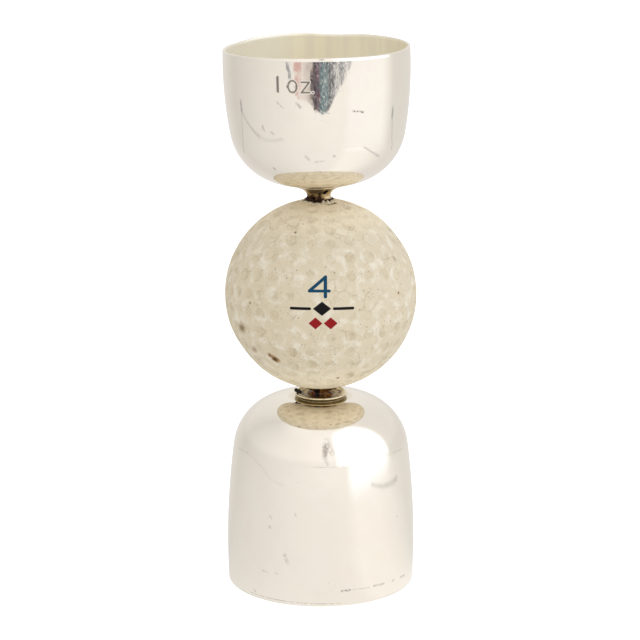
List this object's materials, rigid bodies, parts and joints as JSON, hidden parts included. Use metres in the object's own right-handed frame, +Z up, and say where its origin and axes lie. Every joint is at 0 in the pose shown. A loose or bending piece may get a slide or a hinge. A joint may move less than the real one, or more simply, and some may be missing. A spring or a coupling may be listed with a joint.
{
  "type": "bar jigger",
  "caption": "Two-ended bar jigger: a small and a large silver-plated cup joined back to back by a dimpled cream golf ball on short metal ferrules.",
  "frame": {"origin": "centre of the large cup's rim, on the surface the jigger stands on", "axes": "+Z up along the large cup's and the ball's axis; the small cup leans 1 degree from it towards -X; -Y is the printed and marked front"},
  "size_m": [0.0412, 0.0412, 0.1173],
  "materials": {
    "silver_plate": "polished",
    "collar_plate": "satin",
    "seat_plate": "satin",
    "solder": "satin",
    "stud_steel": "satin",
    "ball_cover": "satin",
    "rubber_thread": "matte",
    "sac_rubber": "matte",
    "centre_paste": "matte",
    "dark_glue": "satin",
    "brown_glue": "gloss"
  },
  "bodies": {
    "root": {"upper_cup": "silver_plate", "upper_collar": "collar_plate", "upper_solder": "solder", "upper_stud": "stud_steel", "upper_adhesive": "dark_glue", "ball_cover": "ball_cover", "ball_windings": "rubber_thread", "centre_sac": "sac_rubber", "centre_paste": "centre_paste", "lower_stud": "stud_steel", "lower_adhesive": "brown_glue", "lower_seat": "seat_plate", "lower_solder": "solder", "lower_cup": "silver_plate"}
  },
  "joints": []
}
